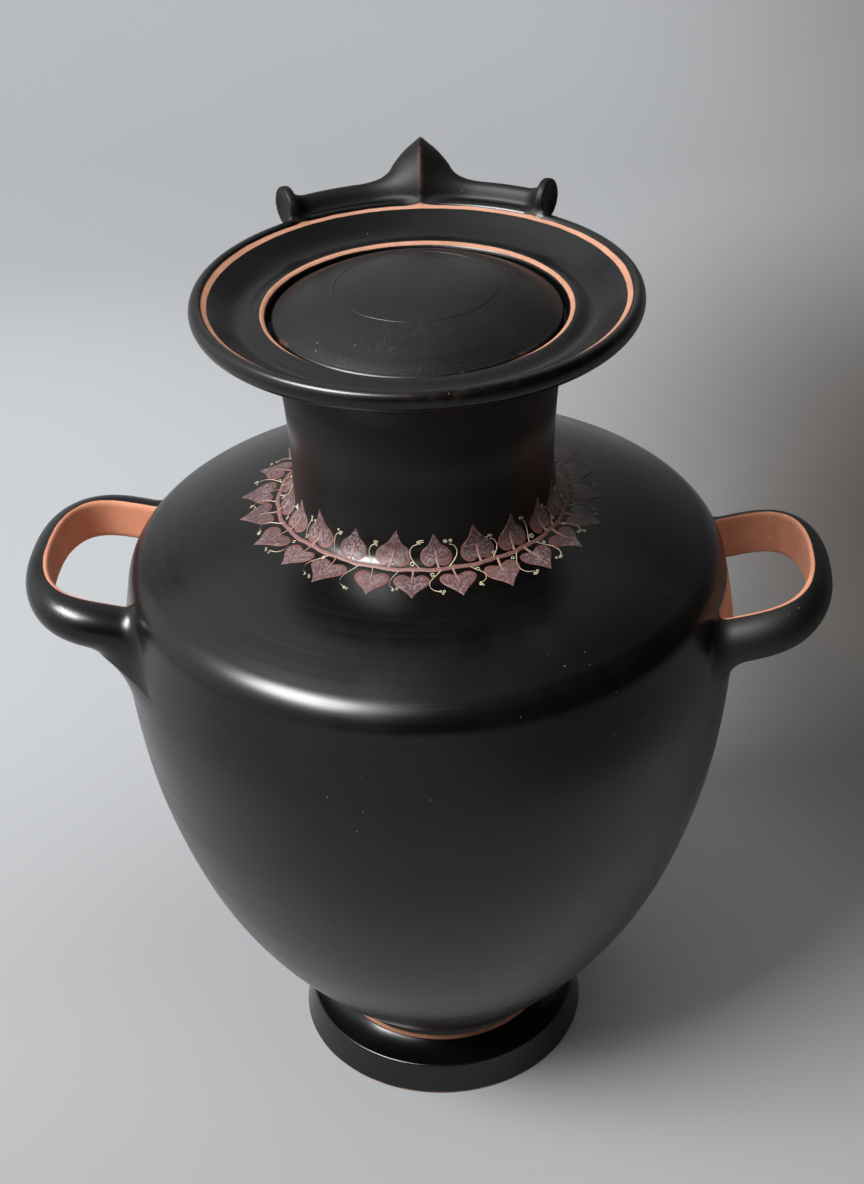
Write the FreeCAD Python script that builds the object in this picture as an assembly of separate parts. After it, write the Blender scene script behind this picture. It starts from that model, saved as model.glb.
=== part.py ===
import FreeCAD, Part
import math
import os

# A lidded hydria, turned about the Z axis and standing on Z = 0, in millimetres.
# The two loop handles lie on the X axis and the upright handle stands behind the mouth, at +Y.

WALL = 6.5

# Foot
BASE_R = 79.3
BASE_CHAMFER = 0.8
REST_INNER_R = 66.0
FOOT_EDGE_R = 75.2
FOOT_EDGE_Z = 16.2
STEM_R = 58.5
STEM_TOP_Z = 27.0
FOOT_HOLLOW_R = 48.0

# Belly
FLOOR_Z = 36.0
WIDEST_R = 155.2
WIDEST_Z = 262.0

# Shoulder
MID_WALL = (153.5, 281.5)
SHOULDER_EDGE_R = 149.8
SHOULDER_EDGE_Z = 303.0
SHOULDER_ROUND = 20.0
WALL_LEAN_DEG = 10.0
SHOULDER_SLOPE_DEG = 28.0
ROUND_MIDDLE_DEG = 36.0
BORE_EDGE_DEPTH = 6.0

# Neck and mouth
NECK_R = 64.0
NECK_FOOT_R = 64.3
NECK_ROUND = 11.0
NECK_ROUND_Z = 349.7
NECK_JOINT_DEG = 225.0
NECK_JOINT_FLAT_DEG = 260.0
NECK_TOP_R = 67.5
NECK_TOP_Z = 410.0
NECK_BORE_R = 57.5
MOUTH_BORE_R = 60.5
SEAT_Z = 433.0
SEAT_R = 70.6
COLLAR_R = 3.2
COLLAR_Z = 438.8
LIP_CREST = (102.8, 451.3)
LIP_OUTER = (106.1, 446.6)

# Lid
LID_R = 68.4
LID_EDGE_Z = 439.6
LID_TOP_Z = 455.5
LID_WALL = 6.0
LID_RING = (38.5, 452.0)
FLANGE_R = 57.5
FLANGE_WALL = 6.0
FLANGE_Z = 421.0

# Loop handles: a flat inner face on a superellipse loop, a round back, tilted up and outwards.
# They are pulled and set by hand, so each has its own sizes. The face's lower edge leans
# inwards by `lean` at the loop's end, and the round back sags by `drop`.
LOOP_ROOT_X = 150.0
LOOP_END_POWER = 3.75
LOOP_SIDE_POWER = 2.4
LEFT_LOOP = {
    "azimuth": 181.0,
    "top_z": 304.5,
    "tilt": 12.0,
    "reach": 40.5,
    "half_width": 46.4,
    "face_height": 21.0,
    "arm_thick": 15.4,
    "end_thick": 12.6,
    "lean": 5.4,
    "drop": 2.0,
}
RIGHT_LOOP = {
    "azimuth": 0.0,
    "top_z": 298.5,
    "tilt": 14.5,
    "reach": 41.6,
    "half_width": 45.0,
    "face_height": 25.0,
    "arm_thick": 12.0,
    "end_thick": 11.6,
    "lean": 6.0,
    "drop": 0.8,
}
# The arms swell where they meet the wall: reach past the loop's root and the swelling there.
ROOT_SWELL = ((-24.0, 1.6), (-12.0, 1.25), (-2.0, 1.05))

# Upright handle, its saddle and its end discs
BACK_TURN_DEG = 2.7
SADDLE_PATH_R = 111.5
SADDLE_R = 6.5
SADDLE_Z = 451.3
SADDLE_HALF_DEG = 34.7
SADDLE_TURN_DEG = 3.8
SADDLE_TUCK_DEG = 0.6
ROTELLE_R = 10.0
ROTELLE_TOE_OUT_DEG = 9.0
ROTELLE_THICK = 4.5
ROTELLE_DISH = 1.6
ROTELLE_Z = 455.0
ROTELLE_EDGE = 0.8
STRAP_HALF_WIDTH = 12.0


def at(r, z):
    """A point of a turned outline, in the XZ plane."""
    return FreeCAD.Vector(r, 0, z)


def line(a, b):
    return Part.LineSegment(at(*a), at(*b)).toShape()


def arc(a, b, c):
    return Part.Arc(at(*a), at(*b), at(*c)).toShape()


def curve(points, start=None, end=None):
    """A smooth edge through the points, leaving and arriving along the given directions."""
    spline = Part.BSplineCurve()
    if start:
        spline.interpolate(
            Points=[at(*p) for p in points],
            InitialTangent=at(*start),
            FinalTangent=at(*end),
        )
    else:
        spline.interpolate(Points=[at(*p) for p in points])
    return spline.toShape()


def turned(edges):
    """The solid that a closed outline sweeps in one turn about Z."""
    face = Part.Face(Part.Wire(edges))
    return face.revolve(FreeCAD.Vector(0, 0, 0), FreeCAD.Vector(0, 0, 1), 360)


def inset(points, depth):
    """The points moved to their left by depth, square to the outline through them."""
    moved = []
    for index, (r, z) in enumerate(points):
        before = points[max(index - 1, 0)]
        after = points[min(index + 1, len(points) - 1)]
        dr = after[0] - before[0]
        dz = after[1] - before[1]
        length = math.hypot(dr, dz)
        moved.append((r - depth * dz / length, z + depth * dr / length))
    return moved


# Outer outlines of the wall, from the bottom up.

BELLY_OUTER = [
    (STEM_R, STEM_TOP_Z),
    (66.3, 35.0),
    (79.5, 50.0),
    (101.8, 80.0),
    (124.4, 120.0),
    (139.2, 160.0),
    (149.0, 200.0),
    (154.1, 240.0),
    (WIDEST_R, WIDEST_Z),
]
BELLY_START = (1.0, 0.9)
UPWARDS = (0.0, 1.0)

ROUND_CENTRE = (
    SHOULDER_EDGE_R - SHOULDER_ROUND * math.cos(math.radians(WALL_LEAN_DEG)),
    SHOULDER_EDGE_Z - SHOULDER_ROUND * math.sin(math.radians(WALL_LEAN_DEG)),
)


def around(centre, radius, degrees):
    angle = math.radians(degrees)
    return (centre[0] + radius * math.cos(angle), centre[1] + radius * math.sin(angle))


def on_shoulder_round(degrees, radius=SHOULDER_ROUND):
    return around(ROUND_CENTRE, radius, degrees)


def on_neck_round(degrees):
    """A point of the hollow round between the shoulder and the neck."""
    return around((NECK_FOOT_R + NECK_ROUND, NECK_ROUND_Z), NECK_ROUND, degrees)


NECK_ROOT_R, NECK_ROOT_Z = on_neck_round(NECK_JOINT_DEG)
ROUND_END_DEG = 90.0 - SHOULDER_SLOPE_DEG
SHOULDER_TOP = [
    on_shoulder_round(ROUND_END_DEG),
    (125.0, 324.3),
    (110.0, 330.2),
    (89.0, 336.0),
    on_neck_round(NECK_JOINT_FLAT_DEG),
]
LEAN_DIRECTION = (-math.sin(math.radians(WALL_LEAN_DEG)), math.cos(math.radians(WALL_LEAN_DEG)))
SLOPE_DIRECTION = (
    -math.cos(math.radians(SHOULDER_SLOPE_DEG)),
    math.sin(math.radians(SHOULDER_SLOPE_DEG)),
)
NECK_FLAT_DIRECTION = (
    math.sin(math.radians(NECK_JOINT_FLAT_DEG)),
    -math.cos(math.radians(NECK_JOINT_FLAT_DEG)),
)

NECK_OUTER = [
    (NECK_FOOT_R, NECK_ROUND_Z),
    (NECK_R, 362.0),
    (64.9, 386.0),
    (NECK_TOP_R, NECK_TOP_Z),
]
NECK_TOP_DIRECTION = (0.22, 0.98)

MOUTH_UNDER = [
    (NECK_TOP_R, NECK_TOP_Z),
    (71.8, 421.0),
    (80.0, 430.5),
    (91.0, 437.0),
    (101.0, 440.6),
]
LIP_UNDER_DIRECTION = (1.0, 0.25)


def round_arc(radius):
    """The arc of the shoulder's edge, or of its inside, from the wall to the slope."""
    start = on_shoulder_round(WALL_LEAN_DEG, radius)
    end = on_shoulder_round(ROUND_END_DEG, radius)
    return arc(start, on_shoulder_round(ROUND_MIDDLE_DEG, radius), end)


def shoulder_outside():
    """The shoulder's outer edges, from the belly's widest point up to the neck."""
    round_start = on_shoulder_round(WALL_LEAN_DEG)
    return [
        curve([(WIDEST_R, WIDEST_Z), MID_WALL, round_start], UPWARDS, LEAN_DIRECTION),
        round_arc(SHOULDER_ROUND),
        curve(SHOULDER_TOP, SLOPE_DIRECTION, NECK_FLAT_DIRECTION),
        arc(SHOULDER_TOP[-1], on_neck_round(242.0), (NECK_ROOT_R, NECK_ROOT_Z)),
    ]


def foot():
    edge_top = (FOOT_EDGE_R - 1.4, FOOT_EDGE_Z + 1.1)
    bead_low = (60.5, 21.8)
    return turned(
        [
            line((REST_INNER_R, 0), (BASE_R - BASE_CHAMFER, 0)),
            line((BASE_R - BASE_CHAMFER, 0), (BASE_R, BASE_CHAMFER)),
            line((BASE_R, BASE_CHAMFER), (FOOT_EDGE_R, FOOT_EDGE_Z)),
            arc((FOOT_EDGE_R, FOOT_EDGE_Z), (FOOT_EDGE_R - 0.4, FOOT_EDGE_Z + 0.8), edge_top),
            arc(edge_top, (66.5, 18.6), bead_low),
            arc(bead_low, (59.2, 24.2), (STEM_R, STEM_TOP_Z)),
            line((STEM_R, STEM_TOP_Z), (FOOT_HOLLOW_R, STEM_TOP_Z)),
            line((FOOT_HOLLOW_R, STEM_TOP_Z), (FOOT_HOLLOW_R, 15.0)),
            arc((FOOT_HOLLOW_R, 15.0), (54.0, 5.5), (REST_INNER_R, 0)),
        ]
    )


def belly():
    inner = inset(BELLY_OUTER, WALL)[3:-1]
    inner.append((WIDEST_R - WALL, WIDEST_Z))
    floor = [(0.0, FLOOR_Z), (45.0, FLOOR_Z + 3.0), (72.0, FLOOR_Z + 16.0)]
    return turned(
        [
            line((0.0, STEM_TOP_Z), (STEM_R, STEM_TOP_Z)),
            curve(BELLY_OUTER, BELLY_START, UPWARDS),
            line((WIDEST_R, WIDEST_Z), inner[-1]),
            curve(floor + inner, (1.0, 0.0), UPWARDS),
            line((0.0, FLOOR_Z), (0.0, STEM_TOP_Z)),
        ]
    )


def shoulder():
    inner_round = SHOULDER_ROUND - WALL
    inner_start = on_shoulder_round(WALL_LEAN_DEG, inner_round)
    inner_end = on_shoulder_round(ROUND_END_DEG, inner_round)
    bore_edge = (NECK_BORE_R, NECK_ROOT_Z - BORE_EDGE_DEPTH)
    return turned(
        shoulder_outside()
        + [
            line((NECK_ROOT_R, NECK_ROOT_Z), (NECK_BORE_R, NECK_ROOT_Z)),
            line((NECK_BORE_R, NECK_ROOT_Z), bore_edge),
            curve([inner_end] + inset(SHOULDER_TOP, WALL)[1:-1] + [bore_edge]),
            round_arc(inner_round),
            curve([(WIDEST_R - WALL, WIDEST_Z), (MID_WALL[0] - WALL, MID_WALL[1]), inner_start]),
            line((WIDEST_R - WALL, WIDEST_Z), (WIDEST_R, WIDEST_Z)),
        ]
    )


def neck():
    bore = [
        (NECK_BORE_R, NECK_ROOT_Z),
        (NECK_BORE_R, 365.0),
        (58.6, 388.0),
        (MOUTH_BORE_R, NECK_TOP_Z),
    ]
    return turned(
        [
            arc((NECK_ROOT_R, NECK_ROOT_Z), on_neck_round(203.0), NECK_OUTER[0]),
            curve(NECK_OUTER, UPWARDS, NECK_TOP_DIRECTION),
            line((NECK_TOP_R, NECK_TOP_Z), (MOUTH_BORE_R, NECK_TOP_Z)),
            curve(bore),
            line((NECK_BORE_R, NECK_ROOT_Z), (NECK_ROOT_R, NECK_ROOT_Z)),
        ]
    )


def mouth():
    collar_top = (SEAT_R + COLLAR_R, COLLAR_Z + COLLAR_R)
    collar_mid = (
        SEAT_R + COLLAR_R * (1 - math.sqrt(0.5)),
        COLLAR_Z + COLLAR_R * math.sqrt(0.5),
    )
    lip_inner = (100.0, 449.8)
    lip_shoulder = (105.3, 449.6)
    lip_heel = (105.1, 443.2)
    dish = [collar_top, (80.5, 440.4), (90.0, 443.5), lip_inner]
    return turned(
        [
            curve(MOUTH_UNDER, NECK_TOP_DIRECTION, LIP_UNDER_DIRECTION),
            arc(MOUTH_UNDER[-1], (103.4, 441.5), lip_heel),
            arc(lip_heel, LIP_OUTER, lip_shoulder),
            arc(lip_shoulder, LIP_CREST, lip_inner),
            curve(dish, (1.0, 0.0), (1.0, 0.6)),
            arc(collar_top, collar_mid, (SEAT_R, COLLAR_Z)),
            line((SEAT_R, COLLAR_Z), (SEAT_R, SEAT_Z)),
            line((SEAT_R, SEAT_Z), (MOUTH_BORE_R, SEAT_Z)),
            line((MOUTH_BORE_R, SEAT_Z), (MOUTH_BORE_R, NECK_TOP_Z)),
            line((MOUTH_BORE_R, NECK_TOP_Z), (NECK_TOP_R, NECK_TOP_Z)),
        ]
    )


def lid():
    flange_inner = FLANGE_R - FLANGE_WALL
    edge_low = (LID_R, LID_EDGE_Z - 1.5)
    edge_top = (LID_R - 1.5, LID_EDGE_Z + 0.6)
    under_ring = (LID_RING[0] - 2.5, LID_RING[1] - LID_WALL)
    return turned(
        [
            line((FLANGE_R, SEAT_Z), (LID_R, SEAT_Z)),
            line((LID_R, SEAT_Z), edge_low),
            arc(edge_low, (LID_R - 0.5, LID_EDGE_Z), edge_top),
            curve([edge_top, LID_RING, (0.0, LID_TOP_Z)], (-0.85, 0.5), (-1.0, 0.0)),
            line((0.0, LID_TOP_Z), (0.0, LID_TOP_Z - LID_WALL)),
            curve([(0.0, LID_TOP_Z - LID_WALL), under_ring, (flange_inner, SEAT_Z + 4.0)]),
            line((flange_inner, SEAT_Z + 4.0), (flange_inner, FLANGE_Z)),
            line((flange_inner, FLANGE_Z), (FLANGE_R, FLANGE_Z)),
            line((FLANGE_R, FLANGE_Z), (FLANGE_R, SEAT_Z)),
        ]
    )


def wall_core():
    """The belly and shoulder filled solid, to trim the handles against."""
    return turned(
        [
            line((0.0, STEM_TOP_Z), (STEM_R, STEM_TOP_Z)),
            curve(BELLY_OUTER, BELLY_START, UPWARDS),
        ]
        + shoulder_outside()
        + [
            line((NECK_ROOT_R, NECK_ROOT_Z), (0.0, NECK_ROOT_Z)),
            line((0.0, NECK_ROOT_Z), (0.0, STEM_TOP_Z)),
        ]
    )


def largest(shape):
    """The biggest solid of a trimmed shape."""
    return max(shape.Solids, key=lambda solid: solid.Volume)


def loop_stations(loop):
    """Along the inner face's top edge: reach, side offset, outward direction, swelling."""
    arm = loop["half_width"]
    near_root = [(root, -arm, (0.0, -1.0), swell) for root, swell in ROOT_SWELL]
    far_root = [(root, arm, (0.0, 1.0), swell) for root, swell in reversed(ROOT_SWELL)]
    stations = []
    for degrees in (-82, -72, -60, -46, -32, -16, 0, 16, 32, 46, 60, 72, 82):
        angle = math.radians(degrees)
        reach = math.cos(angle) ** (2 / LOOP_END_POWER)
        side = abs(math.sin(angle)) ** (2 / LOOP_SIDE_POWER)
        outward_s = LOOP_END_POWER * reach ** (LOOP_END_POWER - 1) / loop["reach"]
        outward_y = LOOP_SIDE_POWER * side ** (LOOP_SIDE_POWER - 1) / arm
        length = math.hypot(outward_s, outward_y)
        sign = math.copysign(1.0, degrees)
        outward = (outward_s / length, sign * outward_y / length)
        stations.append((loop["reach"] * reach, sign * arm * side, outward, 1.0))
    return near_root + stations + far_root


def loop_section(loop, reach, side, outward, swell):
    """The D-shaped section of a loop handle at one station."""
    tilt = math.radians(loop["tilt"])
    along = FreeCAD.Vector(math.cos(tilt), 0, math.sin(tilt))
    across = FreeCAD.Vector(0, 1, 0)
    up = FreeCAD.Vector(-math.sin(tilt), 0, math.cos(tilt))
    height = loop["face_height"]
    facing = along * outward[0] + across * outward[1]
    thick = loop["arm_thick"] + (loop["end_thick"] - loop["arm_thick"]) * outward[0]
    lean = facing * (loop["lean"] * outward[0])
    edge = FreeCAD.Vector(LOOP_ROOT_X, 0, loop["top_z"]) + along * reach + across * side
    middle = edge - up * (height / 2) - lean * 0.5
    top = edge + up * (height * (swell - 1) / 2)
    bottom = edge - up * (height * (swell + 1) / 2) - lean
    back = middle + facing * (thick * swell) - up * loop["drop"]
    return Part.Wire([Part.Arc(top, back, bottom).toShape(), Part.LineSegment(bottom, top).toShape()])


def loop_handle(loop, core):
    sections = [loop_section(loop, *station) for station in loop_stations(loop)]
    handle = Part.makeLoft(sections, True)
    return largest(turned_about_z(handle, loop["azimuth"]).cut(core))


def turned_about_z(shape, degrees):
    shape.rotate(FreeCAD.Vector(0, 0, 0), FreeCAD.Vector(0, 0, 1), degrees)
    return shape


# The upright handle's keel in the YZ plane, from the lip over the top to the shoulder:
# the keel's point, half the strap's width there and its thickness.
KEEL_STATIONS = [
    (103.3, 449.0, 32.0, 12.0),
    (104.8, 459.0, 22.0, 12.0),
    (110.0, 470.0, 13.5, 13.5),
    (121.0, 475.6, STRAP_HALF_WIDTH, 14.0),
    (136.0, 471.5, STRAP_HALF_WIDTH, 13.5),
    (151.0, 457.0, STRAP_HALF_WIDTH, 12.0),
    (161.5, 435.0, STRAP_HALF_WIDTH, 12.5),
    (166.0, 408.0, STRAP_HALF_WIDTH, 12.5),
    (164.0, 380.0, STRAP_HALF_WIDTH, 12.5),
    (157.0, 353.0, 13.0, 13.0),
    (147.0, 330.0, 15.0, 14.5),
    (139.0, 310.0, 19.0, 17.0),
]


def strap_section(spline, parameter, half_width, thick):
    """The keeled section of the upright handle, square to its path."""
    keel = spline.value(parameter)
    tangent = FreeCAD.Vector(*spline.tangent(parameter)[0])
    inward = tangent.cross(FreeCAD.Vector(1, 0, 0)).normalize()
    side = FreeCAD.Vector(half_width, 0, 0)
    flank = FreeCAD.Vector(0.72 * half_width, 0, 0)
    floor = keel + inward * thick
    shelf = keel + inward * (0.6 * thick)
    left = Part.Arc(floor - side, shelf - flank, keel).toShape()
    right = Part.Arc(keel, shelf + flank, floor + side).toShape()
    return Part.Wire([left, right, Part.LineSegment(floor + side, floor - side).toShape()])


def back_handle(core, mouth_ring, saddle):
    points = [FreeCAD.Vector(0, y, z) for y, z, _, _ in KEEL_STATIONS]
    path = Part.BSplineCurve()
    path.interpolate(Points=points)
    sections = []
    for point, station in zip(points, KEEL_STATIONS):
        sections.append(strap_section(path, path.parameter(point), *station[2:]))
    strap = turned_about_z(Part.makeLoft(sections, True), BACK_TURN_DEG)
    return largest(strap.cut(core).cut(mouth_ring).cut(saddle))


def handle_saddle(mouth_ring, discs):
    """The bar behind the lip, with its ends tucked into the backs of the discs."""
    profile = Part.Circle(
        FreeCAD.Vector(SADDLE_PATH_R, 0, SADDLE_Z), FreeCAD.Vector(0, 1, 0), SADDLE_R
    )
    face = Part.Face(Part.Wire(profile.toShape()))
    half = SADDLE_HALF_DEG + SADDLE_TUCK_DEG
    bar = face.revolve(FreeCAD.Vector(0, 0, 0), FreeCAD.Vector(0, 0, 1), 2 * half)
    bar = turned_about_z(bar, 90 - half + SADDLE_TURN_DEG)
    return largest(bar.cut([mouth_ring] + discs))


def rotelle(side, mouth_ring):
    """A dished disc on the end of the saddle; side is +1 at the right and -1 at the left."""
    back_edge = (ROTELLE_R - ROTELLE_EDGE, 0.0)
    front_edge = (ROTELLE_R - ROTELLE_EDGE, ROTELLE_THICK)
    dish_middle = (0.5 * ROTELLE_R, ROTELLE_THICK - 0.75 * ROTELLE_DISH)
    dish_centre = (0.0, ROTELLE_THICK - ROTELLE_DISH)
    disc = turned(
        [
            line((0.0, 0.0), back_edge),
            arc(back_edge, (ROTELLE_R, ROTELLE_THICK / 2), front_edge),
            arc(front_edge, dish_middle, dish_centre),
            line(dish_centre, (0.0, 0.0)),
        ]
    )
    disc.rotate(FreeCAD.Vector(0, 0, 0), FreeCAD.Vector(1, 0, 0), 90 * side)
    disc = turned_about_z(disc, side * ROTELLE_TOE_OUT_DEG)
    disc.translate(FreeCAD.Vector(SADDLE_PATH_R, 0, ROTELLE_Z))
    disc = turned_about_z(disc, 90 - side * SADDLE_HALF_DEG + SADDLE_TURN_DEG)
    return largest(disc.cut(mouth_ring))


def main():
    core = wall_core()
    mouth_ring = mouth()
    discs = [rotelle(side, mouth_ring) for side in (1, -1)]
    saddle = handle_saddle(mouth_ring, discs)
    parts = {
        "foot": foot(),
        "belly": belly(),
        "shoulder": shoulder(),
        "neck": neck(),
        "mouth": mouth_ring,
        "lid": lid(),
        "right_handle": loop_handle(RIGHT_LOOP, core),
        "left_handle": loop_handle(LEFT_LOOP, core),
        "handle_saddle": saddle,
        "back_handle": back_handle(core, mouth_ring, saddle),
        "right_rotelle": discs[0],
        "left_rotelle": discs[1],
    }
    os.makedirs("parts", exist_ok=True)
    for node, shape in parts.items():
        print(node, len(shape.Solids), shape.isValid(), round(shape.Volume / 1000.0, 1), "cm3")
        shape.exportStep("parts/" + node + ".step")


main()
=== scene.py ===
"""The looks of a lidded black-glazed hydria with a painted ivy garland.

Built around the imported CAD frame. Outlines are in millimetres until their mesh is made.
+Z is the turning axis, and the front faces -Y.
"""

import itertools
import math
import random

import bpy
import numpy as np
from mathutils import Matrix, Vector


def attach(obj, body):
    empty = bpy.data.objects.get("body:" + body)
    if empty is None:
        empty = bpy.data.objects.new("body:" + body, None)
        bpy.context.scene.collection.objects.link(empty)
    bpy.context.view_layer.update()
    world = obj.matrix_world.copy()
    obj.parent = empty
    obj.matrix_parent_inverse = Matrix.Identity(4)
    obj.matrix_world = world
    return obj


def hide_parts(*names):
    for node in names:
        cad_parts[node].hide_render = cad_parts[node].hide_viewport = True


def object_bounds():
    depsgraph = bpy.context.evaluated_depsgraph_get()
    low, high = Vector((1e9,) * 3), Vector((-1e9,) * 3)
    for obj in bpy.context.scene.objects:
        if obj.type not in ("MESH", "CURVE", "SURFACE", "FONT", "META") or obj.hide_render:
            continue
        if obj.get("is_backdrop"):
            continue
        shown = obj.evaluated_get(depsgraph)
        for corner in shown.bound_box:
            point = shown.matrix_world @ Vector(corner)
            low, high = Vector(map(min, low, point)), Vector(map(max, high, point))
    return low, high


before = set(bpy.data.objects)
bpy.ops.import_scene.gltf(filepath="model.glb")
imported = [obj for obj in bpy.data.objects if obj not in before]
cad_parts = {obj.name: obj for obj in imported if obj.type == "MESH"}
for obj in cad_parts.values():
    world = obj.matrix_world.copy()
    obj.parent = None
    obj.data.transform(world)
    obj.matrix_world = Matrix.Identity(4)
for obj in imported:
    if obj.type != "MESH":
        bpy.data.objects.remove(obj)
cad_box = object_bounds()

MM = 0.001
ROUND_SEGMENTS = 320
CELL = 1.0


# ---- outlines


def spline(points, start=None, end=None, spacing=1.0):
    """A smooth curve through the points, leaving and arriving along the given directions."""
    p = np.array(points, float)
    gaps = np.hypot(*np.diff(p, axis=0).T)
    count = len(p)
    matrix = np.zeros((count, count))
    right = np.zeros((count, 2))
    chords = np.diff(p, axis=0) / gaps[:, None]
    for i in range(1, count - 1):
        before, after = 1.0 / gaps[i - 1], 1.0 / gaps[i]
        matrix[i, i - 1 : i + 2] = before, 2 * (before + after), after
        right[i] = 3 * (chords[i - 1] * before + chords[i] * after)
    for row, inner, way, chord in ((0, 1, start, chords[0]), (-1, -2, end, chords[-1])):
        if way:
            matrix[row, row] = 1.0
            right[row] = np.array(way) / np.hypot(*way)
        else:
            matrix[row, row], matrix[row, inner] = 2.0, 1.0
            right[row] = 3 * chord
    slopes = np.linalg.solve(matrix, right)
    out = [p[0]]
    for i in range(count - 1):
        for u in np.linspace(0, 1, max(2, int(gaps[i] / spacing)) + 1)[1:]:
            rise = u * u * (3 - 2 * u)
            out.append(
                p[i] * (1 - rise)
                + p[i + 1] * rise
                + gaps[i] * u * (1 - u) * ((1 - u) * slopes[i] - u * slopes[i + 1])
            )
    return np.array(out)


def direction(degrees):
    return (math.cos(math.radians(degrees)), math.sin(math.radians(degrees)))


def on_circle(centre, radius, degrees):
    cos, sin = direction(degrees)
    return (centre[0] + radius * cos, centre[1] + radius * sin)


def arc(centre, radius, first, last, spacing=0.4):
    steps = max(4, int(radius * math.radians(abs(last - first)) / spacing))
    return np.array([on_circle(centre, radius, a) for a in np.linspace(first, last, steps + 1)])


def circle_centre(a, b, c):
    """The centre of the circle through three points."""
    (ax, ay), (bx, by), (cx, cy) = a, b, c
    d = 2 * (ax * (by - cy) + bx * (cy - ay) + cx * (ay - by))
    a2, b2, c2 = ax * ax + ay * ay, bx * bx + by * by, cx * cx + cy * cy
    return (
        (a2 * (by - cy) + b2 * (cy - ay) + c2 * (ay - by)) / d,
        (a2 * (cx - bx) + b2 * (ax - cx) + c2 * (bx - ax)) / d,
    )


def arc_through(a, b, c, spacing=0.3):
    """The arc from a through b to c."""
    centre = circle_centre(a, b, c)
    first, middle, last = (
        math.degrees(math.atan2(q[1] - centre[1], q[0] - centre[0])) for q in (a, b, c)
    )
    middle, last = (middle - first) % 360, (last - first) % 360
    if middle > last:
        last -= 360
    return arc(centre, math.dist(a, centre), first, first + last, spacing)


def line(a, b, spacing=4.0):
    steps = max(1, int(math.dist(a, b) / spacing))
    return np.linspace(a, b, steps + 1)


def lines(*corners):
    return [line(a, b) for a, b in itertools.pairwise(corners)]


def run_along(points):
    """The distance from the first point to each, along them."""
    return np.concatenate([[0], np.cumsum(np.hypot(*np.diff(points, axis=0).T))])


def unit(vectors):
    return vectors / np.linalg.norm(vectors, axis=1)[:, None]


def inset(points, depth):
    """The outline moved to its left by depth."""
    along = unit(np.gradient(points, axis=0))
    return points + depth * np.c_[-along[:, 1], along[:, 0]]


WALL = 6.5
FOOT_TOP, BELLY_TOP, NECK_TOP, LIP_START = (58.5, 27), (155.2, 262), (67.5, 410), (101, 440.6)
NECK_CENTRE, NECK_ROUND = (75.3, 349.7), 11
SHOULDER_CENTRE, SHOULDER_ROUND = (130.104, 299.527), 20
SLOPE_DEG, WALL_LEAN_DEG = 28, 10
NECK_JOINT_DEG, NECK_FLAT_DEG = 225, 260
NECK_FLARE = (0.22, 0.98)

belly_outside = spline(
    [FOOT_TOP, (66.3, 35), (79.5, 50), (101.8, 80), (124.4, 120), (139.2, 160)]
    + [(149, 200), (154.1, 240), BELLY_TOP],
    (1, 0.9),
    (0, 1),
    2,
)
round_start = on_circle(SHOULDER_CENTRE, SHOULDER_ROUND, WALL_LEAN_DEG)
round_end = on_circle(SHOULDER_CENTRE, SHOULDER_ROUND, 90 - SLOPE_DEG)
neck_flat = on_circle(NECK_CENTRE, NECK_ROUND, NECK_FLAT_DEG)
neck_root = on_circle(NECK_CENTRE, NECK_ROUND, NECK_JOINT_DEG)

shoulder_outside = np.concatenate(
    [
        spline([BELLY_TOP, (153.5, 281.5), round_start], (0, 1), direction(90 + WALL_LEAN_DEG))[:-1],
        arc(SHOULDER_CENTRE, SHOULDER_ROUND, WALL_LEAN_DEG, 90 - SLOPE_DEG)[:-1],
        spline(
            [round_end, (125, 324.3), (110, 330.2), (89, 336), neck_flat],
            direction(180 - SLOPE_DEG),
            direction(NECK_FLAT_DEG - 90),
        )[:-1],
        arc(NECK_CENTRE, NECK_ROUND, NECK_FLAT_DEG, NECK_JOINT_DEG, 0.25),
    ]
)
neck_outside = np.concatenate(
    [
        arc(NECK_CENTRE, NECK_ROUND, NECK_JOINT_DEG, 180, 0.25)[:-1],
        spline([(64.3, 349.7), (64, 362), (64.9, 386), NECK_TOP], (0, 1), NECK_FLARE),
    ]
)
mouth_under = spline(
    [NECK_TOP, (71.8, 421), (80, 430.5), (91, 437), LIP_START], NECK_FLARE, (1, 0.25), 0.7
)
lip_round = np.concatenate(
    [
        arc_through(LIP_START, (103.4, 441.5), (105.1, 443.2))[:-1],
        arc_through((105.1, 443.2), (106.1, 446.6), (105.3, 449.6))[:-1],
        arc_through((105.3, 449.6), (102.8, 451.3), (100, 449.8)),
    ]
)
dish = spline([(100, 449.8), (90, 443.5), (80.5, 440.4), (73.8, 442)], (-1, -0.6), (-1, 0), 0.7)
mouth_outside = np.concatenate([mouth_under[:-1], lip_round[:-1], dish])

wall_outside = np.concatenate([belly_outside[:-1], shoulder_outside])


# ---- turned pieces


def link(thing):
    bpy.context.scene.collection.objects.link(thing)
    return thing


def smooth_object(name, vertices, faces):
    mesh = bpy.data.meshes.new(name)
    mesh.from_pydata(vertices, [], faces)
    mesh.polygons.foreach_set("use_smooth", np.ones(len(faces), bool))
    return link(bpy.data.objects.new(name, mesh))


def grid_faces(rows, columns, first=0):
    """Quads between points numbered row by row."""
    starts = [first + i * columns + j for i in range(rows - 1) for j in range(columns - 1)]
    return [(a, a + 1, a + columns + 1, a + columns) for a in starts]


def make_mesh(name, vertices, faces, normals, attributes, body, replaced):
    """A piece from vertices in millimetres, with its own corner normals and point attributes."""
    piece = smooth_object(name, (np.asarray(vertices) * MM).tolist(), faces)
    for key, values in attributes.items():
        layer = piece.data.attributes.new(key, "FLOAT", "POINT")
        layer.data.foreach_set("value", np.asarray(values, np.float32))
    if normals is not None:
        piece.data.normals_split_custom_set(normals)
    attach(piece, body)
    if replaced:
        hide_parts(*replaced)
    return piece


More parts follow.
